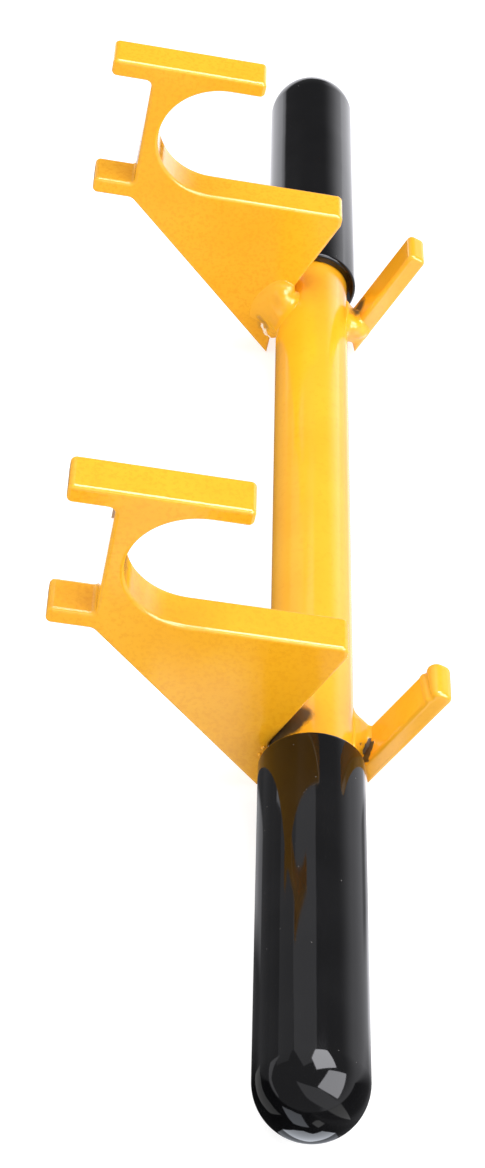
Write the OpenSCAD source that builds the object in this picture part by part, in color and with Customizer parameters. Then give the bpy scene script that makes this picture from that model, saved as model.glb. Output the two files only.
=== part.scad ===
// Welded two-hook carrying handle: a round tube with a hook plate and a
// stop peg near each end, and a domed push-on grip over each end.
// Drawn as it lies on a flat surface: both grips and the ground feet of
// both hook plates touch z = 0.  Millimetres, +Z up, +Y along the tube.

/* [Tube] */
// Outside diameter of the handle tube
tube_od = 25.4; // [24:0.1:27]
// Wall thickness of the handle tube
tube_wall = 3.2; // [2:0.1:5]

/* [Grips] */
// Wall thickness of a grip
grip_wall = 3.175; // [2.8:0.005:3.6]
// Length of a grip, lip to the crown of its dome
grip_len = 124.5; // [90:0.5:140]
// Free length of tube between a hook plate and the lip of the grip
lip_gap = 4.8; // [3:0.1:12]

/* [Hook plates] */
// Thickness of the hook plates
plate_t = 12.7; // [9:0.1:16]
// Distance from plate to plate, same face to same face
plate_pitch = 203.2; // [150:0.1:260]
// Outer end of the top bar and of the tab, left of the tube axis
bar_left = 84.5; // [80:0.1:92]
// Open end of the top bar, left of the tube axis
bar_right = 33.6; // [28:0.1:40]
// Top face of the top bar, above the tube axis
bar_top = 93.8; // [92:0.1:98]
// Thickness of the top bar on its outer side
bar_t = 6.3; // [5:0.1:8]
// Thickness of the top bar above the mouth
web_t = 5.6; // [4:0.1:7]
// Outer face of the neck, left of the tube axis
neck_x = 70.9; // [70:0.1:74]
// Width of the round mouth
mouth_w = 42; // [40:0.1:43]
// Centre of the mouth's round end, left of the tube axis
mouth_x = 44.7; // [42:0.1:46]
// Thickness of the tab on the outer side of the neck
tab_t = 6.0; // [5:0.1:8]
// Square end of the jaw, right of the tube axis
jaw_end = 1.9; // [-2:0.1:4]
// Height of the square end of the jaw
jaw_end_h = 4.3; // [4:0.1:8]
// Root gap between the plate's upright edge and the tube
foot_gap = 0.15; // [0.1:0.05:0.4]
// Height above the tube axis where the slanting edge meets the upright edge
foot_z = 2.2; // [1:0.1:4]
// Where the sharp foot would end below the tube axis, before it is ground flush
foot_sharp = 19.1; // [18.8:0.1:20]
// Corner radius of the bar ends
corner_r = 1.6; // [1:0.1:2.4]

/* [Pegs] */
// Width of a peg
peg_w = 6.35; // [5:0.05:8]
// Distance from the tube axis to the face of the near peg
near_peg_off = 15.8; // [15:0.1:17]
// Distance from the tube axis to the face of the far peg
far_peg_off = 15.0; // [14.5:0.1:17]
// Slope of the near peg
near_peg_angle = 69; // [65:0.5:75]
// Slope of the far peg
far_peg_angle = 70.4; // [65:0.2:75]
// Reach of a peg along its slope
peg_reach = 42.3; // [36:0.1:50]
// Start of the near peg along its slope, on its outer face
near_peg_start = -3.4; // [-4:0.1:0]
// Start of the far peg along its slope, on its outer face
far_peg_start = -5.4; // [-5.8:0.1:-3]
// How much further up the slope the foot's bevel reaches the inner face
peg_bevel = 7.0; // [6:0.5:12]

/* [Welds] */
// Leg of the welds along the tube
weld_leg_tube = 7.0; // [5:0.1:9]
// Leg of the hook welds on the plates
weld_leg_plate = 6.5; // [5:0.1:8]

/* [Stance] */
// Lean of the hook plates when the handle lies on its grips and feet
lean = 10; // [9:0.5:11]

/* [Hidden] */
$fn = 96;
paint = [0.98, 0.73, 0.13];
vinyl = [0.06, 0.06, 0.07];

tube_r  = tube_od / 2;
grip_r  = tube_r + grip_wall;
// faces of the plates along the tube, measured from the near plate's outer face
near_y  = 0;
far_y   = plate_pitch;
span    = plate_pitch + plate_t;
lip_y   = lip_gap;
dome_y  = lip_gap + grip_len - grip_r;
tube_len = span + 2 * dome_y;

// mouth
mouth_r  = mouth_w / 2;
mouth_hi = bar_top - web_t;
mouth_lo = mouth_hi - mouth_w;
mouth_z  = mouth_hi - mouth_r;
tab_hi   = mouth_lo;
tab_lo   = tab_hi - tab_t;

// foot: the upright edge and the slanting lower edge, cut by the surface it stands on
edge_x = -tube_r - foot_gap;
cut_z  = (sin(lean) * edge_x - grip_r) / cos(lean);
slope  = (-foot_sharp - tab_lo) / (edge_x + neck_x);
// slanting edge: z = -foot_sharp + slope * (x - edge_x); surface: z = cut_z + tan(lean) * (x - edge_x)
foot_dx = (cut_z + foot_sharp) / (slope - tan(lean));

// stance: the tube axis stands grip_r above the surface
function lean_x(x, z) = x * cos(lean) + z * sin(lean);
function peg_x(off, ang) = lean_x((off + peg_w) * sin(ang) + peg_reach * cos(ang),
                                  -(off + peg_w) * cos(ang) + peg_reach * sin(ang));
low_x  = lean_x(-bar_left + corner_r, tab_lo + corner_r) - corner_r;
high_x = max(peg_x(near_peg_off, near_peg_angle), peg_x(far_peg_off, far_peg_angle));
shift_x = -(low_x + high_x) / 2;

module stand() {
    translate([shift_x, -span / 2, grip_r]) rotate([0, lean, 0]) children();
}
// extrudes an upright outline from y to y + t
module slab(y, t) {
    translate([0, y + t, 0]) rotate([90, 0, 0]) linear_extrude(t) children();
}
// sector of a ring round the tube axis, from angle a to angle b; the outline is [radius, distance before y]
module ring(y, a, b) {
    translate([0, y, 0]) rotate([90, 0, 0]) rotate([0, 0, a]) rotate_extrude(angle = b - a) children();
}
// what is cut off a square corner at p to round it; sx and sz point into the plate
module corner(p, sx, sz, r) {
    translate(p) difference() {
        translate([sx > 0 ? -1 : -r, sz > 0 ? -1 : -r]) square(r + 1);
        translate([sx * r, sz * r]) circle(r);
    }
}

module hook_outline() {
    difference() {
        polygon([
            [-bar_left, bar_top], [-bar_right, bar_top], [-bar_right, mouth_hi],
            [-mouth_x, mouth_hi], [-mouth_x, mouth_lo], [jaw_end, mouth_lo],
            [jaw_end, mouth_lo - jaw_end_h], [edge_x, foot_z], [edge_x, cut_z],
            [edge_x + foot_dx, cut_z + tan(lean) * foot_dx], [-neck_x, tab_lo],
            [-bar_left, tab_lo], [-bar_left, tab_hi], [-neck_x, tab_hi],
            [-neck_x, bar_top - bar_t], [-bar_left, bar_top - bar_t]]);
        translate([-mouth_x, mouth_z]) circle(mouth_r);
        corner([-bar_left, bar_top], 1, -1, corner_r);
        corner([-bar_left, bar_top - bar_t], 1, 1, corner_r);
        corner([-bar_right, bar_top], -1, -1, corner_r);
        corner([-bar_right, mouth_hi], -1, 1, corner_r);
        corner([-bar_left, tab_hi], 1, -1, corner_r);
        corner([-bar_left, tab_lo], 1, 1, corner_r);
        corner([jaw_end, mouth_lo], -1, -1, corner_r);
    }
}

// flat bar on a slope, its foot bevelled off towards the tube
module peg_outline(off, ang, start) {
    rotate(ang) polygon([[start, -off - peg_w], [peg_reach, -off - peg_w],
                         [peg_reach, -off], [start + peg_bevel, -off]]);
}

module hook_plate(y) {
    color(paint) stand() slab(y, plate_t) hook_outline();
}
module peg(y, off, ang, start) {
    color(paint) stand() slab(y, plate_t) peg_outline(off, ang, start);
}

// grip: closed cup with a domed end, lip towards the plates
module grip_shape() {
    rotate_extrude() difference() {
        union() {
            translate([0, 1]) square([grip_r, grip_len - grip_r - 1]);
            square([grip_r - 1, 2]);
            translate([grip_r - 1, 1]) circle(1);
            intersection() {
                translate([0, grip_len - grip_r]) circle(grip_r);
                translate([0, grip_len - grip_r - 1]) square([grip_r + 1, grip_r + 2]);
            }
        }
        translate([-1, -1]) square([tube_r + 1, grip_len - grip_r + 1]);
        translate([0, grip_len - grip_r]) circle(tube_r);
        translate([-50, -10]) square([50, grip_len + 20]);
    }
}

// hook weld: convex fillet in the corner of tube and plate; way = -1 on a face that looks along +Y
module hook_weld(y, way) {
    color(paint) stand() ring(y, 130, 216)
        polygon([[tube_r, 0], [tube_r, way * weld_leg_tube],
                 [tube_r + 1.6, way * (weld_leg_tube - 0.5)],
                 [tube_r + 0.72 * weld_leg_plate, way * 0.55 * weld_leg_tube],
                 [tube_r + weld_leg_plate, way * 1.2], [tube_r + weld_leg_plate, 0]]);
}

// peg weld: lump that fills the space between tube and peg foot and runs up the peg's inner face
module peg_weld(y, way, off, ang, start, peg_y) {
    color(paint) stand() difference() {
        ring(y, -34, 24)
            polygon([[tube_r, -way * 0.62 * plate_t], [tube_r, way * weld_leg_tube],
                     [tube_r + 2, way * (weld_leg_tube - 0.4)],
                     [tube_r + 8.6, way * 3.6], [tube_r + 9.8, way * 1.2], [tube_r + 9.8, 0],
                     [tube_r + 8.6, 0], [tube_r + 8.6, -way * 0.62 * plate_t]]);
        slab(peg_y, plate_t) peg_outline(off, ang, start);
        // the weld stops at the peg's outer corner line
        slab(min(y, peg_y) - 20, 60 + plate_t) rotate(ang) translate([-80, -off - peg_w - 80]) square([160, 80]);
    }
}

module handle_tube() {
    color(paint) stand() translate([0, span + dome_y, 0]) rotate([90, 0, 0])
        difference() {
            cylinder(h = tube_len, r = tube_r);
            translate([0, 0, -1]) cylinder(h = tube_len + 2, r = tube_r - tube_wall);
        }
}
module near_hook_plate() { hook_plate(near_y); }
module far_hook_plate()  { hook_plate(far_y); }
module near_peg() { peg(near_y, near_peg_off, near_peg_angle, near_peg_start); }
module far_peg()  { peg(far_y, far_peg_off, far_peg_angle, far_peg_start); }
module near_grip() {
    color(vinyl) stand() translate([0, -lip_y, 0]) rotate([90, 0, 0]) grip_shape();
}
module far_grip() {
    color(vinyl) stand() translate([0, span + lip_y, 0]) rotate([-90, 0, 0]) grip_shape();
}
module near_hook_weld() { hook_weld(near_y + plate_t, -1); }
module far_hook_weld()  { hook_weld(far_y, 1); }
module near_peg_weld()  { peg_weld(near_y + plate_t, -1, near_peg_off, near_peg_angle, near_peg_start, near_y); }
module far_peg_weld()   { peg_weld(far_y, 1, far_peg_off, far_peg_angle, far_peg_start, far_y); }

handle_tube();
near_hook_plate();
far_hook_plate();
near_peg();
far_peg();
near_grip();
far_grip();
near_hook_weld();
far_hook_weld();
near_peg_weld();
far_peg_weld();
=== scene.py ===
import math
import random

import bmesh
import bpy
import numpy as np
from mathutils import Matrix, Vector


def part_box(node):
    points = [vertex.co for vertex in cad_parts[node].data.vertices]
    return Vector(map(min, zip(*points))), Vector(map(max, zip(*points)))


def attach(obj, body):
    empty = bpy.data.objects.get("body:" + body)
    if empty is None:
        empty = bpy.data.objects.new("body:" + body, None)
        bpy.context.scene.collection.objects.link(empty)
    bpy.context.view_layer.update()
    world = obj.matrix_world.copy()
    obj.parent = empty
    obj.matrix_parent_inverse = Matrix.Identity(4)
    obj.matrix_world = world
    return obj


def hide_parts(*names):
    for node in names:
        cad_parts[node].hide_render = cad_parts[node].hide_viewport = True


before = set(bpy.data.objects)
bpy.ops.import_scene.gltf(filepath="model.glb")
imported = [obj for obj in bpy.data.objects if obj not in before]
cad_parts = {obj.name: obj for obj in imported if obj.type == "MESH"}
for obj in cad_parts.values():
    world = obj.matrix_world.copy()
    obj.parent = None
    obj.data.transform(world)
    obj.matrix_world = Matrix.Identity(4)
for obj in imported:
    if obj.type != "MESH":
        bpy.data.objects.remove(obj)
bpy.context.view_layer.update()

# ---------------------------------------------------------------- the design frame
# Shapes are written in millimetres, upright, about the tube's axis: x to the peg side, z up,
# y along the tube from the near plate's outer face.  at() leans and moves them into the row frame.
LEAN = math.radians(10.0)
CL, SL = math.cos(LEAN), math.sin(LEAN)
tube_lo, tube_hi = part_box("handle_tube")
AXIS_X = (tube_lo.x + tube_hi.x) / 2
AXIS_Z = (tube_lo.z + tube_hi.z) / 2
NEAR_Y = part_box("near_hook_plate")[0].y


def at(x, y, z):
    return Vector((AXIS_X + (x * CL + z * SL) / 1000, NEAR_Y + y / 1000, AXIS_Z + (z * CL - x * SL) / 1000))


TUBE_R, TUBE_WALL, GRIP_R = 12.7, 3.2, 15.875
PLATE_T, PITCH = 12.7, 203.2
SPAN = PITCH + PLATE_T
GRIP_LEN, LIP = 124.5, 4.8
DOME = LIP + GRIP_LEN - GRIP_R
EDGE = 1.25
rng = random.Random(7)


# ---------------------------------------------------------------- mesh helpers
def piece(name, bm, material, node=None, sharp=40.0, weighted=True):
    """Turns a bmesh in design millimetres into a finished piece that rides on the root body."""
    for v in bm.verts:
        v.co = at(*v.co)
    bmesh.ops.recalc_face_normals(bm, faces=bm.faces)
    limit = math.radians(sharp)
    for f in bm.faces:
        f.smooth = True
    for e in bm.edges:
        e.smooth = len(e.link_faces) == 2 and e.calc_face_angle(0.0) < limit
    mesh = bpy.data.meshes.new(name)
    bm.to_mesh(mesh)
    bm.free()
    obj = bpy.data.objects.new(name, mesh)
    bpy.context.scene.collection.objects.link(obj)
    obj.data.materials.append(material)
    if weighted:
        m = obj.modifiers.new("even_shading", "WEIGHTED_NORMAL")
        m.mode = "FACE_AREA"
        m.weight = 60
        m.keep_sharp = True
    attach(obj, "root")
    if node:
        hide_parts(node)
    return obj


def rounded(points, step=9.0):
    """Closed outline from (x, z, corner radius), each corner turned into an arc."""
    out = []
    n = len(points)
    for i, (x, z, r) in enumerate(points):
        p = Vector((x, z))
        if r == 0:
            out.append(p)
            continue
        a = (Vector(points[i - 1][:2]) - p).normalized()
        b = (Vector(points[(i + 1) % n][:2]) - p).normalized()
        ang = a.angle(b)
        t = r / math.tan(ang / 2)
        c = p + (a + b).normalized() * (r / math.sin(ang / 2))
        s, e = p + a * t - c, p + b * t - c
        a0 = math.atan2(s.y, s.x)
        d = (math.atan2(e.y, e.x) - a0 + math.pi) % (2 * math.pi) - math.pi
        k = max(3, math.ceil(abs(math.degrees(d)) / step))
        for j in range(k + 1):
            w = a0 + d * j / k
            out.append(c + Vector((math.cos(w), math.sin(w))) * r)
    area = sum(out[i - 1].x * out[i].y - out[i].x * out[i - 1].y for i in range(len(out)))
    return out if area > 0 else out[::-1]


def inset(loop, d):
    """The outline moved inwards by d, corner by corner."""
    out = []
    n = len(loop)
    for i, p in enumerate(loop):
        u = (p - loop[i - 1]).normalized()
        w = (loop[(i + 1) % n] - p).normalized()
        n1, n2 = Vector((-u.y, u.x)), Vector((-w.y, w.x))
        out.append(p + (n1 + n2) * (d / max(0.12, 1 + n1.dot(n2))))
    return out


def slab(loop, y0, y1, edge=EDGE, rounds=5):
    """Plate with that outline from y0 to y1, its long edges rounded."""
    bm = bmesh.new()
    # the edge layer peaks halfway round each rounded edge, where paint() draws the coat paler: partly a thinner coat,
    # partly a painted highlight
    layer = bm.verts.layers.float.new("edge")
    rings = []
    for side in (0, 1):
        steps = range(rounds + 1) if side == 0 else range(rounds, -1, -1)
        for k in steps:
            a = math.pi / 2 * k / rounds
            depth, cut = edge * (1 - math.cos(a)), edge * (1 - math.sin(a))
            y = y0 + depth if side == 0 else y1 - depth
            ring = [bm.verts.new((p.x, y, p.y)) for p in inset(loop, cut)]
            for v in ring:
                v[layer] = math.sin(2 * a)
            rings.append(ring)
    n = len(loop)
    bm.faces.new(rings[0])
    bm.faces.new(rings[-1][::-1])
    for r0, r1 in zip(rings, rings[1:]):
        for i in range(n):
            j = (i + 1) % n
            bm.faces.new((r0[i], r0[j], r1[j], r1[i]))
    return bm


def lathe(profile, turns, closed=False):
    """Turns (radius, y) points about the tube's axis.  A point on the axis is one vertex."""
    bm = bmesh.new()
    rings = []
    for r, y in profile:
        if r < 1e-6:
            rings.append([bm.verts.new((0, y, 0))])
        else:
            rings.append([bm.verts.new((r * math.cos(2 * math.pi * k / turns), y, r * math.sin(2 * math.pi * k / turns))) for k in range(turns)])
    pairs = list(zip(rings, rings[1:])) + ([(rings[-1], rings[0])] if closed else [])
    for r0, r1 in pairs:
        for k in range(turns):
            j = (k + 1) % turns
            if len(r0) == 1:
                bm.faces.new((r0[0], r1[j], r1[k]))
            elif len(r1) == 1:
                bm.faces.new((r0[k], r0[j], r1[0]))
            else:
                bm.faces.new((r0[k], r0[j], r1[j], r1[k]))
    return bm


def melt(a, b, k):
    """Joins two distance fields with a smooth hollow throat of reach k."""
    k = np.maximum(k, 1e-4)
    h = np.maximum(k - np.abs(a - b), 0.0) / k
    return np.minimum(a, b) - h * h * k / 4


def fade(v, lo, hi):
    t = np.clip((v - lo) / (hi - lo), 0.0, 1.0)
    return t * t * (3 - 2 * t)


def bar_field(outline, depth, edge):
    """Distance to a bar with that outline and depth, its long edges rounded."""
    a, b = outline + edge, depth + edge
    return np.hypot(np.maximum(a, 0), np.maximum(b, 0)) + np.minimum(np.maximum(a, b), 0) - edge


def beside(x, z, p, q):
    """Distance from the line p to q, positive on its right-hand side."""
    u = (Vector(q) - Vector(p)).normalized()
    return (x - p[0]) * u.y - (z - p[1]) * u.x


def skin(name, lo, hi, cell, field, material, node, soften=3):
    """Closed quad skin round the region where field(x, y, z) is below zero, in design millimetres."""
    grid = np.meshgrid(*[a + cell * np.arange(int((b - a) / cell) + 2) for a, b in zip(lo, hi)], indexing="ij")
    f = field(*grid)
    for ax in range(3):
        for end in (0, -1):
            part = [slice(None)] * 3
            part[ax] = end
            f[tuple(part)] = np.maximum(f[tuple(part)], 0.05)
    solid = f < 0
    size = tuple(n - 1 for n in f.shape)

    def corner(values, o):
        return values[o[0]:o[0] + size[0], o[1]:o[1] + size[1], o[2]:o[2] + size[2]]

    total, count = np.zeros(size + (3,)), np.zeros(size)
    for ax in range(3):
        for p in (0, 1):
            for q in (0, 1):
                o = [p, q]
                o.insert(ax, 0)
                far = list(o)
                far[ax] = 1
                cross = corner(solid, o) != corner(solid, far)
                f0, f1 = corner(f, o), corner(f, far)
                t = f0 / np.where(cross, f0 - f1, 1.0)
                for d in range(3):
                    total[..., d] += np.where(cross, t if d == ax else o[d], 0.0)
                count += cross
    live = count > 0
    index = np.full(size, -1)
    index[live] = np.arange(int(live.sum()))
    points = (np.argwhere(live) + total[live] / count[live][:, None]) * cell + np.array(lo)
    bm = bmesh.new()
    verts = [bm.verts.new(p) for p in points]
    for ax in range(3):
        a, b = (ax + 1) % 3, (ax + 2) % 3
        near = [slice(1, -1)] * 3
        near[ax] = slice(0, -1)
        ahead = list(near)
        ahead[ax] = slice(1, None)
        for g in np.argwhere(solid[tuple(near)] != solid[tuple(ahead)]):
            g = g + 1
            g[ax] -= 1
            ring = []
            for da, db in ((0, 0), (1, 0), (1, 1), (0, 1)):
                c = g.copy()
                c[a] -= da
                c[b] -= db
                ring.append(verts[index[tuple(c)]])
            bm.faces.new(ring)
    for _ in range(soften):
        bmesh.ops.smooth_vert(bm, verts=bm.verts, factor=0.5, use_axis_x=True, use_axis_y=True, use_axis_z=True)
    return piece(name, bm, material, node, sharp=180.0, weighted=False)


# ---------------------------------------------------------------- materials
def nodes_of(name):
    mat = bpy.data.materials.new(name)
    mat.use_nodes = True
    nt = mat.node_tree
    return mat, nt, nt.nodes["Principled BSDF"]


def math_node(nt, op, a, b=None, clamp=False):
    n = nt.nodes.new("ShaderNodeMath")
    n.operation = op
    n.use_clamp = clamp
    for i, v in enumerate((a, b)):
        if v is None:
            continue
        if isinstance(v, (int, float)):
            n.inputs[i].default_value = v
        else:
            nt.links.new(v, n.inputs[i])
    return n.outputs[0]


def ramp(nt, value, lo, hi, to_lo=0.0, to_hi=1.0):
    n = nt.nodes.new("ShaderNodeMapRange")
    n.interpolation_type = "SMOOTHSTEP"
    n.inputs["From Min"].default_value = lo
    n.inputs["From Max"].default_value = hi
    n.inputs["To Min"].default_value = to_lo
    n.inputs["To Max"].default_value = to_hi
    nt.links.new(value, n.inputs["Value"])
    return n.outputs["Result"]


def mix_colour(nt, fac, a, b):
    n = nt.nodes.new("ShaderNodeMix")
    n.data_type = "RGBA"
    nt.links.new(fac, n.inputs["Factor"])
    ins = [s for s in n.inputs if s.type == "RGBA"]
    for v, sock in zip((a, b), ins):
        if isinstance(v, tuple):
            sock.default_value = (*v, 1)
        else:
            nt.links.new(v, sock)
    return [s for s in n.outputs if s.type == "RGBA"][0]


def noise(nt, coords, scale, detail=2.0, rough=0.5):
    n = nt.nodes.new("ShaderNodeTexNoise")
    n.inputs["Scale"].default_value = scale
    n.inputs["Detail"].default_value = detail
    n.inputs["Roughness"].default_value = rough
    nt.links.new(coords, n.inputs["Vector"])
    return n.outputs["Fac"]


def vector_node(nt, op, a, b=None):
    n = nt.nodes.new("ShaderNodeVectorMath")
    n.operation = op
    for i, v in enumerate((a, b)):
        if v is None:
            continue
        if isinstance(v, Vector):
            n.inputs[i].default_value = v
        else:
            nt.links.new(v, n.inputs[i])
    return n


def patch(nt, co, start, end, radius, core, strength):
    """Soft-edged patch along a line between two points in design millimetres: 1 within core times the radius, then fading."""
    a, b = at(*start), at(*end)
    run = b - a
    rel = vector_node(nt, "SUBTRACT", co, a).outputs[0]
    along = vector_node(nt, "DOT_PRODUCT", rel, run / max(run.length_squared, 1e-12)).outputs["Value"]
    along = math_node(nt, "MULTIPLY", along, 1.0, clamp=True)
    foot = vector_node(nt, "SCALE", rel)
    foot.inputs[0].default_value = run
    nt.links.remove(foot.inputs[0].links[0])
    nt.links.new(along, foot.inputs["Scale"])
    gap = vector_node(nt, "DISTANCE", rel, foot.outputs[0]).outputs["Value"]
    return ramp(nt, gap, radius * core / 1000, radius / 1000, strength, 0.0)


def paint(name, painted_shade_and_dark_patches=(), painted_glints=(), peel=1.0, mottle=(520.0, 0.50, 0.76, 0.45), gloss=(0.07, 0.11), ior=1.9, base=(0.86, 0.405, 0.014)):
    """Semi-gloss powder coat: fine orange peel, slight change of tone, paler along the rounded edges (partly a thinner
    coat, partly a painted highlight), near-black patches that are mostly painted shade, and pale painted glints.
    """
    mat, nt, bsdf = nodes_of(name)
    co = nt.nodes.new("ShaderNodeTexCoord").outputs["Object"]
    broad = noise(nt, co, 38.0, 2.0)
    fine = noise(nt, co, 520.0, 2.5, 0.6)
    grain = noise(nt, co, 1500.0, 2.0, 0.6)
    deep = tuple(c * k for c, k in zip(base, (0.985, 0.955, 0.85)))
    light = tuple(min(1.0, c * k) for c, k in zip(base, (1.01, 1.035, 1.15)))
    colour = mix_colour(nt, ramp(nt, broad, 0.3, 0.7), deep, light)
    colour = mix_colour(nt, ramp(nt, noise(nt, co, mottle[0], 2.5, 0.6), mottle[1], mottle[2], 0.0, mottle[3]), colour, tuple(c * k for c, k in zip(base, (0.93, 0.86, 0.7))))
    edge = nt.nodes.new("ShaderNodeAttribute")
    edge.attribute_name = "edge"
    # paler towards the middle of each rounded edge: partly a thinner coat, partly a painted highlight
    colour = mix_colour(nt, math_node(nt, "MULTIPLY", edge.outputs["Fac"], 0.30), colour, tuple(min(1.0, c * k) for c, k in zip(base, (1.03, 1.10, 1.6))))
    rough = ramp(nt, noise(nt, co, 90.0, 3.0), 0.3, 0.7, *gloss)
    rough = math_node(nt, "ADD", rough, math_node(nt, "MULTIPLY", edge.outputs["Fac"], 0.12))
    if painted_shade_and_dark_patches:
        tex = nt.nodes.new("ShaderNodeTexNoise")
        tex.inputs["Scale"].default_value = 700.0
        tex.inputs["Detail"].default_value = 3.0
        nt.links.new(co, tex.inputs["Vector"])
        shake = vector_node(nt, "SCALE", vector_node(nt, "SUBTRACT", tex.outputs["Color"], Vector((0.5, 0.5, 0.5))).outputs[0])
        shake.inputs["Scale"].default_value = 0.0016
        ragged = vector_node(nt, "ADD", co, shake.outputs[0]).outputs[0]
        # near-black patches: mostly painted shade; pale patches: painted glints
        for places, tone in ((painted_shade_and_dark_patches, (0.014, 0.010, 0.006)), (painted_glints, (0.93, 0.87, 0.74))):
            cover = None
            for start, end, radius, core, strength in places:
                one = patch(nt, ragged, start, end, radius, core, strength)
                cover = one if cover is None else math_node(nt, "MAXIMUM", cover, one)
            if cover is not None:
                colour = mix_colour(nt, cover, colour, tone)
                rough = math_node(nt, "ADD", rough, math_node(nt, "MULTIPLY", cover, 0.4))
    nt.links.new(colour, bsdf.inputs["Base Color"])
    nt.links.new(rough, bsdf.inputs["Roughness"])
    bsdf.inputs["IOR"].default_value = ior
    height = math_node(nt, "ADD", math_node(nt, "MULTIPLY", fine, 1.0), math_node(nt, "MULTIPLY", grain, 0.22))
    bump = nt.nodes.new("ShaderNodeBump")
    bump.inputs["Strength"].default_value = 1.0
    bump.inputs["Distance"].default_value = 0.000036 * peel
    nt.links.new(height, bump.inputs["Height"])
    nt.links.new(bump.outputs[0], bsdf.inputs["Normal"])
    return mat


def vinyl(name):
    """Dip-moulded vinyl: deep gloss black, faintly uneven, a few specks of dust."""
    mat, nt, bsdf = nodes_of(name)
    co = nt.nodes.new("ShaderNodeTexCoord").outputs["Object"]
    smear = noise(nt, co, 55.0, 3.0)
    colour = mix_colour(nt, ramp(nt, smear, 0.35, 0.7), (0.0018, 0.0018, 0.0021), (0.0034, 0.0034, 0.0038))
    cells = nt.nodes.new("ShaderNodeTexVoronoi")
    cells.inputs["Scale"].default_value = 330.0
    nt.links.new(co, cells.inputs["Vector"])
    dot = ramp(nt, cells.outputs["Distance"], 0.035, 0.075, 1.0, 0.0)
    few = ramp(nt, noise(nt, co, 210.0, 1.0), 0.60, 0.64)
    speck = math_node(nt, "MULTIPLY", math_node(nt, "MULTIPLY", dot, few), 0.5)
    colour = mix_colour(nt, speck, colour, (0.20, 0.19, 0.18))
    nt.links.new(colour, bsdf.inputs["Base Color"])
    rough = math_node(nt, "ADD", ramp(nt, smear, 0.3, 0.75, 0.055, 0.095), math_node(nt, "MULTIPLY", speck, 0.5))
    nt.links.new(rough, bsdf.inputs["Roughness"])
    bsdf.inputs["IOR"].default_value = 1.5
    height = math_node(nt, "ADD", math_node(nt, "MULTIPLY", noise(nt, co, 45.0, 1.5), 1.0), math_node(nt, "MULTIPLY", noise(nt, co, 260.0, 2.0), 0.05))
    bump = nt.nodes.new("ShaderNodeBump")
    bump.inputs["Strength"].default_value = 1.0
    bump.inputs["Distance"].default_value = 0.00011
    nt.links.new(height, bump.inputs["Height"])
    nt.links.new(bump.outputs[0], bsdf.inputs["Normal"])
    return mat


# (start, end, radius, core, strength) of the near-black patches, mostly painted shade in the hollows round welds and
# pegs, and of the pale painted glints on the far hook weld
# painted shade: a faint dark patch in the hollow between the far hook plate and its weld
PLATE_PAINT = paint("powder_coat_plates", peel=1.8, mottle=(800.0, 0.46, 0.64, 0.75), painted_shade_and_dark_patches=[((-17.6, 203.2, -0.8), (-16.6, 203.2, -5.5), 2.6, 0.1, 0.35)])
# near-black patch on the tube beside the near plate's slanted edge, next to the near grip's lip
TUBE_PAINT = paint("powder_coat_tube", gloss=(0.12, 0.17), painted_shade_and_dark_patches=[
    ((-12.4, 0.0, 3.0), (-7.8, 1.6, 10.0), 4.6, 0.6, 0.99), ((-7.8, 1.6, 10.0), (-5.5, 4.4, 11.4), 4.6, 0.45, 0.97)])
# painted shade: a dark patch at the far peg's root by the grip, and dark patches on the near peg in the gap between it
# and the tube
PEG_PAINT = paint("powder_coat_pegs", gloss=(0.10, 0.15), painted_shade_and_dark_patches=[
    ((15.6, 210.4, -1.6), (17.2, 211.2, 3.4), 4.4, 0.3, 0.95), ((17.5, 4.6, 1.8), (16.9, 1.9, -0.4), 2.0, 0.8, 0.97), ((17.0, 4.4, 0.6), (15.0, 3.6, -5.0), 3.0, 0.75, 0.97)])
# painted shade: dark patches on the peg welds in the gaps by the grips, and in the hollow of the far hook weld
WELD_PAINT = paint("powder_coat_welds", peel=1.2, gloss=(0.17, 0.23), ior=1.75, painted_shade_and_dark_patches=[
    ((14.4, 4.6, 2.0), (14.6, 5.2, 1.6), 0.9, 0.4, 0.85), ((13.6, 206.8, 2.0), (15.6, 208.4, 2.2), 3.2, 0.3, 0.9),
    ((17.6, 6.1, 1.8), (16.7, 4.0, -0.4), 1.3, 0.75, 0.97),
    ((-18.4, 202.6, -1.4), (-15.4, 201.4, -4.6), 2.0, 0.1, 0.40)], painted_glints=[
    # painted highlights: pale glints along the ripples of the far hook weld
    ((-17.2, 202.6, -5.0), (-14.8, 202.7, -9.2), 0.75, 0.3, 0.95), ((-15.6, 202.0, -6.4), (-12.7, 202.1, -10.2), 0.75, 0.3, 0.95)])
VINYL = vinyl("black_vinyl")

# ---------------------------------------------------------------- hook plates
FOOT = (-13.0, -18.36)


def hook_outline():
    pts = [(-84.5, 93.8, 1.7), (-33.6, 93.8, 1.7), (-33.6, 88.2, 1.7)]
    for k in range(49):
        a = math.radians(90 + 180 * k / 48)
        pts.append((-44.7 + 21 * math.cos(a), 67.2 + 21 * math.sin(a), 0))
    pts += [(1.9, 46.2, 2.2), (1.9, 41.9, 1.2), (-12.85, 2.2, 3.0), (*FOOT, 0), (-70.9, 40.2, 3.0),
            (-84.5, 40.2, 1.7), (-84.5, 46.2, 1.7), (-70.9, 46.2, 1.3), (-70.9, 87.5, 2.2), (-84.5, 87.5, 1.7)]
    return rounded(pts)


for tag, y in (("near", 0.0), ("far", PITCH)):
    piece(tag + "_hook_plate_shape", slab(hook_outline(), y, y + PLATE_T), PLATE_PAINT, tag + "_hook_plate")


# ---------------------------------------------------------------- pegs
PEG_W, PEG_REACH, PEG_BEVEL = 6.35, 42.3, 7.0
NEAR_PEG, FAR_PEG = (15.8, 69.0, -3.4), (15.0, 70.4, -5.4)  # face from the tube's axis, slope, start of the foot


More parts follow.
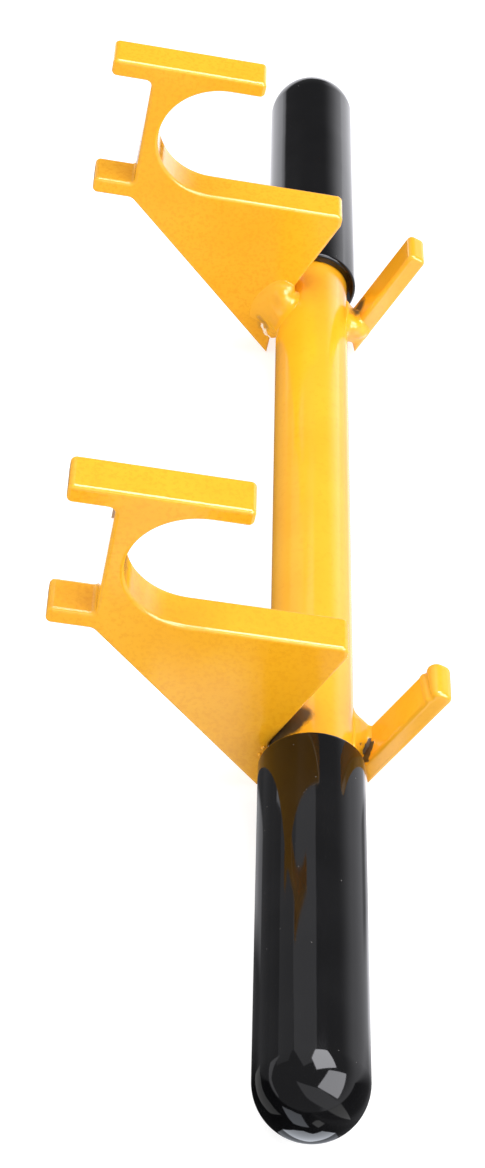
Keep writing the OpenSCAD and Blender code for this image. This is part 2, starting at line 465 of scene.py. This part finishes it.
def peg_field(x, y, z, y0, peg, knob=False):
    """Distance to a peg: a flat bar on a slope, its foot bevelled off, its end rounded or swollen into a knob."""
    off, ang, start = peg
    ca, sa = math.cos(math.radians(ang)), math.sin(math.radians(ang))
    s, n = x * ca + z * sa, x * sa - z * ca  # along the slope, and away from the tube's axis
    lift = swell = 0.0
    if knob:
        k = s + 0.19 * (y - y0 - 5.0)
        swell = 0.45 * fade(k, 38.4, 41.0)
        lift = 0.36 * np.exp(-((k - 36.6) / 0.9) ** 2) - 0.40 * np.exp(-((k - 38.2) / 0.7) ** 2) + swell
    r = 2.9 if knob else 1.9
    side, end = np.maximum(off - lift - n, n - off - PEG_W - swell) + r, s - PEG_REACH + r
    bar = np.hypot(np.maximum(side, 0), np.maximum(end, 0)) + np.minimum(np.maximum(side, end), 0) - r
    bevel = -((s - start) * PEG_W + (n - off - PEG_W) * PEG_BEVEL) / math.hypot(PEG_W, PEG_BEVEL)
    return bar_field(np.maximum(bar, bevel), np.maximum(y0 - y, y - y0 - PLATE_T), 1.3)


skin("near_peg_shape", (12, -1, -13), (39, PLATE_T + 1, 36), 0.3, lambda x, y, z: peg_field(x, y, z, 0.0, NEAR_PEG, True), PEG_PAINT, "near_peg", soften=2)
skin("far_peg_shape", (12, PITCH - 1, -15), (39, SPAN + 1, 37), 0.3, lambda x, y, z: peg_field(x, y, z, PITCH, FAR_PEG), PEG_PAINT, "far_peg", soften=2)

# ---------------------------------------------------------------- tube
y0, y1, ch = -DOME, SPAN + DOME, 0.6
rows = [(TUBE_R - ch, y0), (TUBE_R, y0 + ch)]
rows += [(TUBE_R, y0 + ch + (y1 - y0 - 2 * ch) * k / 60) for k in range(1, 60)]
rows += [(TUBE_R, y1 - ch), (TUBE_R - ch, y1), (TUBE_R - TUBE_WALL + ch, y1), (TUBE_R - TUBE_WALL, y1 - ch), (TUBE_R - TUBE_WALL, y0 + ch), (TUBE_R - TUBE_WALL + ch, y0)]
piece("handle_tube_shape", lathe(rows, 144, closed=True), TUBE_PAINT, "handle_tube")


# ---------------------------------------------------------------- grips
def grip_profile():
    """(radius, distance from the lip), from the crown outside to the crown inside."""
    rows = []
    base = GRIP_LEN - GRIP_R
    for k in range(0, 41):
        a = math.pi / 2 * k / 40
        rows.append((GRIP_R * math.sin(a), base + GRIP_R * math.cos(a)))
    rows[0] = (0.0, GRIP_LEN)
    rows += [(GRIP_R, base * (1 - k / 24)) for k in range(1, 24)]
    lip = 1.15
    for k in range(0, 9):
        a = math.pi / 2 * k / 8
        rows.append((GRIP_R - lip + lip * math.cos(a), lip - lip * math.sin(a)))
    inner = TUBE_R + 0.03
    for k in range(0, 5):
        a = math.pi / 2 * k / 4
        rows.append((inner + 0.5 - 0.5 * math.sin(a), 0.5 - 0.5 * math.cos(a)))
    rows += [(inner, base * k / 8) for k in range(1, 9)]
    for k in range(1, 17):
        a = math.pi / 2 * k / 16
        rows.append((inner * math.cos(a), base + inner * math.sin(a)))
    rows[-1] = (0.0, base + inner)
    return rows


for tag, sign, lip_at in (("near", -1, -LIP), ("far", 1, SPAN + LIP)):
    piece(tag + "_grip_shape", lathe([(r, lip_at + sign * d) for r, d in grip_profile()], 144), VINYL, tag + "_grip")


# ---------------------------------------------------------------- welds
def tube_field(x, z):
    return np.hypot(x, z) - TUBE_R


def plate_field(x, y, z, y0):
    right = np.minimum(beside(x, z, (-12.85, 2.2), (1.9, 41.9)), beside(x, z, FOOT, (-12.85, 2.2)))
    outline = np.maximum(right, beside(x, z, (-70.9, 40.2), FOOT))
    return bar_field(outline, np.maximum(y0 - y, y - y0 - PLATE_T), EDGE)


def only_weld(metal, a, b):
    """The weld metal alone: where it stands off both pieces, with its root a little way into them."""
    return np.maximum.reduce([metal, -a - 1.0, -b - 1.0, (0.035 - (np.minimum(a, b) - metal)) * 8])


# legs of the hook welds round the tube: angle, leg on the plate, leg on the tube
BEAD = [(125, 0.3, 0.3), (129, 2.2, 2.0), (134, 3.6, 3.5), (141, 4.6, 4.8), (150, 5.2, 5.7), (160, 5.5, 6.2), (172, 5.6, 6.2), (181, 5.4, 5.7),
        (189, 4.8, 4.5), (198, 4.7, 4.2), (210, 4.7, 4.0), (219, 4.2, 3.4), (225, 2.4, 2.2), (229, 0.3, 0.3)]


def hook_weld(y0, face, way, lump, shift):
    """Fillet in the corner of tube and plate: full and smooth at the top, with a lump where it starts, and rippled lower down."""
    angle, on_plate, on_tube = (np.array(v) for v in zip(*BEAD))

    def field(x, y, z):
        rho, u = np.hypot(x, z), (y - face) * way
        phi = np.degrees(np.arctan2(z, x)) % 360
        a, b = tube_field(x, z), plate_field(x, y, z, y0)
        p, t = np.interp(phi, angle, on_plate), np.interp(phi, angle, on_tube)
        k = 1.25
        full = (np.maximum(a, 0) / p) ** k + (np.maximum(np.maximum(b, u), 0) / t) ** k
        bead = (full ** (1 / k) - 1) * p * t / np.hypot(p, t) + 3.0 * np.maximum(-1.0 - u, 0)
        bead = bead + 0.6 * (np.maximum(phi - angle[-1], 0) + np.maximum(angle[0] - phi, 0))
        wave = np.radians(phi) * 15.5 - 0.5 * np.abs(u - 1.2) + shift
        bead = bead - 0.30 * fade(phi, 188, 197) * (1 - fade(phi, 218, 226)) * np.abs(np.sin(wave * math.pi / 2.6)) ** 0.7
        at_phi, at_rho, at_u, r = lump
        knob = np.sqrt((np.radians(phi - at_phi) * rho) ** 2 + (rho - at_rho) ** 2 + (u - at_u) ** 2) - r
        bead = melt(bead, knob, 3.4)
        return only_weld(melt(np.minimum(a, b), bead, 4.2 - 3.2 * fade(phi, 186, 196)), a, b)

    return field


# legs of the peg welds: angle round the tube, leg towards the peg, leg along the tube
PEG_BEAD = [(-34, 0.3, 0.3), (-29, 2.6, 1.6), (-22, 5.0, 2.6), (-13, 6.6, 3.4), (-5, 6.6, 4.0), (3, 5.2, 4.2), (9, 3.6, 4.0), (15, 2.0, 3.0), (20, 0.3, 0.3)]


def peg_weld(y0, face, way, peg, back, lumps):
    """Weld that fills the gap between tube and peg foot, as deep in between them as back, and ends in a fillet on the peg's inner face."""
    angle, to_peg, on_tube = (np.array(v) for v in zip(*PEG_BEAD))

    def field(x, y, z):
        u = (y - face) * way
        phi = np.degrees(np.arctan2(z, x))
        a, b = tube_field(x, z), peg_field(x, y, z, y0, peg)
        p, t = np.interp(phi, angle, to_peg), np.interp(phi, angle, on_tube)
        p = p * (1 - 0.75 * fade(-u, 4.5, 11.0))
        k = 1.25
        full = (np.maximum(a, 0) / p) ** k + (np.maximum(u, 0) / t) ** k
        bead = np.maximum((full ** (1 / k) - 1) * p * t / np.hypot(p, t), -back - u)
        bead = bead + 0.6 * (np.maximum(phi - angle[-1], 0) + np.maximum(angle[0] - phi, 0))
        for lx, lu, lz, r in lumps:
            bead = melt(bead, np.sqrt((x - lx) ** 2 + (u - lu) ** 2 + (z - lz) ** 2) - r, 2.4)
        return only_weld(melt(np.minimum(a, b), bead, 1.8), a, b)

    return field


skin("far_hook_weld_bead", (-25, PITCH - 11, -21), (-3, PITCH + 4.5, 16), 0.33, hook_weld(PITCH, PITCH, -1, (140, 15.6, 2.2, 2.0), 0.0), WELD_PAINT, "far_hook_weld", soften=2)
skin("near_hook_weld_bead", (-25, PLATE_T - 4.5, -21), (-3, PLATE_T + 11, 16), 0.33, hook_weld(0.0, PLATE_T, 1, (146, 15.4, 2.4, 2.0), 0.9), WELD_PAINT, "near_hook_weld", soften=2)
skin("far_peg_weld_bead", (5, PITCH - 9, -14), (27, PITCH + 12, 12), 0.33, peg_weld(PITCH, PITCH, -1, FAR_PEG, 8.0, [(15.5, 1.5, 1.2, 1.9), (18.2, 0.7, -1.4, 1.7)]), WELD_PAINT, "far_peg_weld", soften=2)
skin("near_peg_weld_bead", (5, -1, -14), (27, PLATE_T + 9, 12), 0.33, peg_weld(0.0, PLATE_T, 1, NEAR_PEG, 11.0, [(16.2, 1.0, -3.4, 2.0)]), WELD_PAINT, "near_peg_weld", soften=2)

skin("near_weld_spatter", (-16.5, -1.2, -5), (-12.8, 0.9, 1.6), 0.12,
     lambda x, y, z: np.minimum(np.sqrt((x + 14.5) ** 2 + (y + 0.05) ** 2 + (z + 0.1) ** 2) - 0.75, np.sqrt((x + 14.95) ** 2 + (y + 0.05) ** 2 + (0.8 * (z + 3.3)) ** 2) - 0.6),
     WELD_PAINT, None, soften=2)

# ---------------------------------------------------------------- floor
floor_mesh = bpy.data.meshes.new("floor")
bm = bmesh.new()
bmesh.ops.create_grid(bm, x_segments=1, y_segments=1, size=6.0)
bm.to_mesh(floor_mesh)
bm.free()
floor = bpy.data.objects.new("floor", floor_mesh)
floor.location = (0, 0, -0.0001)
bpy.context.scene.collection.objects.link(floor)
mat, nt, bsdf = nodes_of("pale_floor")
bsdf.inputs["Base Color"].default_value = (0.44, 0.44, 0.44, 1)
bsdf.inputs["Emission Color"].default_value = (1, 1, 1, 1)
bsdf.inputs["Emission Strength"].default_value = 0.75
bsdf.inputs["Roughness"].default_value = 0.9
bsdf.inputs["Specular IOR Level"].default_value = 0.1
floor.data.materials.append(mat)
floor.visible_glossy = False


# ---------------------------------------------------------------- what the gloss sees of the studio
def shine(name, bm, z=0.0, tint=(0.98, 0.98, 1.03)):
    """Glowing surface of the studio that shows in the gloss alone."""
    mesh = bpy.data.meshes.new(name)
    bm.to_mesh(mesh)
    bm.free()
    obj = bpy.data.objects.new(name, mesh)
    obj.location = (0, 0, z)
    bpy.context.scene.collection.objects.link(obj)
    mat, nt, bsdf = nodes_of(name)
    bsdf.inputs["Base Color"].default_value = (0, 0, 0, 1)
    bsdf.inputs["Specular IOR Level"].default_value = 0.0
    bsdf.inputs["Emission Color"].default_value = (*tint, 1)
    mat.cycles.emission_sampling = "NONE"
    mesh.materials.append(mat)
    obj.visible_camera = obj.visible_diffuse = obj.visible_transmission = obj.visible_volume_scatter = obj.visible_shadow = False
    sep = nt.nodes.new("ShaderNodeSeparateXYZ")
    return nt, bsdf, sep


def weigh(nt, x, kx, y, ky):
    return math_node(nt, "ADD", math_node(nt, "MULTIPLY", x, kx), math_node(nt, "MULTIPLY", y, ky))


# The floor: grey on the hook side, brighter on the peg side and towards the far end.
bm = bmesh.new()
bmesh.ops.create_grid(bm, x_segments=1, y_segments=1, size=6.0)
nt, bsdf, sep = shine("floor_in_the_gloss", bm, -0.0002)
nt.links.new(nt.nodes.new("ShaderNodeTexCoord").outputs["Object"], sep.inputs[0])
fx, fy = sep.outputs["X"], sep.outputs["Y"]
hook_side = math_node(nt, "ADD", ramp(nt, fx, -0.045, -0.015, 0.22, 0.10), ramp(nt, weigh(nt, fx, 1.0, fy, 0.85), 0.08, 0.17, 0.0, 1.4))
peg_side = math_node(nt, "ADD", ramp(nt, weigh(nt, fx, -0.9, fy, 1.0), 0.05, 0.2, 0.80, 1.9), math_node(nt, "MULTIPLY", ramp(nt, fx, 0.034, 0.040), ramp(nt, fx, 0.043, 0.052, 0.6, 0.0)))
across = ramp(nt, fx, 0.0, 0.045)
glow = math_node(nt, "ADD", hook_side, math_node(nt, "MULTIPLY", math_node(nt, "SUBTRACT", peg_side, hook_side), across))
foot = math_node(nt, "ADD", ramp(nt, fx, -0.037, -0.029, 0.0, 0.5), ramp(nt, fx, -0.01, 0.015, 0.0, -1.0))
foot = math_node(nt, "MULTIPLY", math_node(nt, "MULTIPLY", ramp(nt, fy, -0.17, -0.145), ramp(nt, fy, -0.112, -0.104, 1.0, 0.0)), foot)
glow = math_node(nt, "ADD", glow, math_node(nt, "MULTIPLY", foot, ramp(nt, fx, 0.055, 0.07, 1.0, 0.0)))
nt.links.new(math_node(nt, "MULTIPLY", glow, ramp(nt, fy, -0.215, -0.185, 0.12, 1.0)), bsdf.inputs["Emission Strength"])

# The room: dim, with a pale sweep low behind the peg side and a thin one behind the hook side.
bm = bmesh.new()
bmesh.ops.create_uvsphere(bm, u_segments=48, v_segments=24, radius=4.0)
nt, bsdf, sep = shine("room_in_the_gloss", bm)
nt.links.new(vector_node(nt, "NORMALIZE", nt.nodes.new("ShaderNodeTexCoord").outputs["Object"]).outputs[0], sep.inputs[0])
rx, ry, rz = sep.outputs["X"], sep.outputs["Y"], sep.outputs["Z"]
sweep = math_node(nt, "MULTIPLY", ramp(nt, rx, 0.18, 0.42), math_node(nt, "MULTIPLY", ramp(nt, weigh(nt, rx, -0.9, ry, 1.0), -0.15, 0.3, 0.57, 1.25), ramp(nt, rz, 0.0, 0.5, 1.0, 0.0)))
thin = math_node(nt, "MULTIPLY", ramp(nt, weigh(nt, rx, 1.0, ry, 0.85), -0.05, 0.1, 0.0, 1.0), math_node(nt, "MULTIPLY", ramp(nt, rz, 0.05, 0.13, 1.0, 0.0), ramp(nt, rx, -0.3, 0.0, 1.0, 0.0)))
nt.links.new(math_node(nt, "ADD", math_node(nt, "ADD", sweep, thin), ramp(nt, ry, 0.65, 0.82, 0.25, 0.15)), bsdf.inputs["Emission Strength"])


def reflector(name, corners, glow, dist=1.5, tint=(0.98, 0.98, 1.03)):
    """Flat panel with corners in those directions (azimuth, elevation) from the near grip."""
    bm = bmesh.new()
    verts = []
    for az, el in corners:
        a, e = math.radians(az), math.radians(el)
        verts.append(bm.verts.new(Vector((0.0176, -0.22, 0.02)) + Vector((math.sin(a) * math.cos(e), math.cos(a) * math.cos(e), math.sin(e))) * dist))
    bm.faces.new(verts)
    shine(name, bm, 0.0, tint)[1].inputs["Emission Strength"].default_value = glow


def floor_patch(name, corners, glow, tint=(1, 1, 1)):
    """Brighter patch of the floor, corners in millimetres."""
    bm = bmesh.new()
    bm.faces.new([bm.verts.new((x / 1000, y / 1000, 0)) for x, y in corners])
    shine(name, bm, -0.00005, tint)[1].inputs["Emission Strength"].default_value = glow


# white card behind the near plate, to the left of its neck
bm = bmesh.new()
bm.faces.new([bm.verts.new((x, -0.080, z)) for x, z in ((-0.060, 0.040), (-0.036, 0.040), (-0.036, 0.085), (-0.060, 0.085))])
shine("card_by_the_neck", bm)[1].inputs["Emission Strength"].default_value = 1.4
reflector("panel_above_right", [(-2, 77), (10, 58.5), (38, 48.5), (86, 45), (135, 78)], 7.5)
reflector("panel_right_front", [(101, 58), (89, 24), (131, 11), (164, 48)], 5.6)
reflector("panel_back", [(-39, 38.6), (3.3, 38.6), (28, 66.7), (50, 74), (-98, 75), (-64, 66.8)], 0.75, 1.7)
reflector("panel_front_strip", [(-133, 48), (156, 42), (135, 10), (129, 1), (153, 1), (-170, 28)], 0.9)
reflector("panel_left_strip", [(-58, 24), (-66, 7), (-90, 2), (-120, 1), (-118, 4), (-90, 8)], 1.0)
reflector("panel_back_left", [(-75, 22), (-52, 18), (-31, 15), (-16, 31), (-25, 42), (-45, 42), (-70, 45)], 0.45, 3.4)
floor_patch("floor_right_front", [(43, -238), (1195, -1174), (711, -1566)], 0.9)
floor_patch("floor_before_the_dome", [(3, -240), (6, -249), (12, -253), (19, -249), (26, -252), (29, -246), (30, -240), (17, -237)], 3.0, (0.92, 0.97, 1.06))
floor_patch("floor_under_the_dome", [(6, -232), (3, -240), (17, -237), (30, -240), (27, -232), (17, -226)], 0.5, (0.92, 0.97, 1.06))
floor_patch("floor_front_left", [(-44, -293), (-113, -339), (-110, -420), (-30, -391), (16, -264), (-1, -263)], 1.5, (0.92, 0.97, 1.06))
floor_patch("floor_beside_the_dome", [(-62, -205), (-45, -188), (-22, -205), (-14, -240), (-22, -262), (-45, -250)], 0.5)
floor_patch("floor_front", [(19, -281), (27, -300), (34, -300), (35, -271), (25, -262)], 0.9)

# ---------------------------------------------------------------- light
world = bpy.data.worlds.new("studio")
bpy.context.scene.world = world
world.use_nodes = True
wt = world.node_tree
back = wt.nodes["Background"]
wco = wt.nodes.new("ShaderNodeTexCoord").outputs["Generated"]
sep = wt.nodes.new("ShaderNodeSeparateXYZ")
wt.links.new(wco, sep.inputs[0])
band = ramp(wt, sep.outputs["X"], -0.7, 0.7, 0.14, 0.28)
back.inputs["Color"].default_value = (1.0, 1.0, 1.0, 1)
wt.links.new(band, back.inputs["Strength"])
AIM = Vector((0.0, -0.03, 0.03))
SEEN_FROM = Vector((0.0176, -0.20, 0.02))


def softbox(name, az, el, dist, w, h, glow, tint=(1, 1, 1), seen=True):
    """Rectangular softbox of brightness glow, in that direction from the near grip, turned to the object."""
    a, e = math.radians(az), math.radians(el)
    place = SEEN_FROM + Vector((math.sin(a) * math.cos(e), math.cos(a) * math.cos(e), math.sin(e))) * dist
    light = bpy.data.lights.new(name, "AREA")
    light.shape = "RECTANGLE"
    light.size, light.size_y = w, h
    light.energy = glow * math.pi * w * h
    light.color = tint
    obj = bpy.data.objects.new(name, light)
    obj.location = place
    obj.rotation_mode = "QUATERNION"
    obj.rotation_quaternion = (AIM - place).to_track_quat("-Z", "Y")
    obj.visible_glossy = seen
    obj.visible_camera = False
    bpy.context.scene.collection.objects.link(obj)
    return obj


softbox("key_above_right", 60, 67, 1.5, 0.72, 0.72, 6.5, seen=False)
softbox("key_right_front", 120, 36, 1.6, 1.05, 1.05, 3.6, seen=False)
softbox("back_panel", -18, 57, 1.7, 1.05, 1.0, 0.8, seen=False)
softbox("front_fill", 190, 35, 1.8, 1.4, 1.2, 1.8, seen=False)
softbox("left_fill", -110, 25, 1.8, 1.2, 1.0, 3.0, seen=False)
softbox("top_fill", -20, 75, 1.8, 1.4, 1.4, 2.65, seen=False)
softbox("right_fill", 95, 20, 1.8, 1.2, 0.8, 3.5, seen=False)

# ---------------------------------------------------------------- camera
cam_data = bpy.data.cameras.new("camera")
cam = bpy.data.objects.new("camera", cam_data)
bpy.context.scene.collection.objects.link(cam)
right = Vector((0.9997802552503825, 0.020673675308434655, 0.003469922293257283))
up = Vector((-0.017147091882014798, 0.7112939319497718, 0.702685505479815))
behind = Vector((0.01205895731270185, -0.7025905931057396, 0.7114921222528438))
place = Matrix((right, up, behind)).transposed().to_4x4()
place.translation = Vector((0.0047615, -0.5650866, 0.5499465))
cam.matrix_world = place
cam_data.sensor_fit = "AUTO"
cam_data.sensor_width = 36.0
cam_data.lens = 2363.05 / 1168 * 36
cam_data.clip_start, cam_data.clip_end = 0.01, 50
bpy.context.scene.camera = cam
bpy.context.scene.view_settings.view_transform = "Standard"
bpy.context.scene.view_settings.look = "None"
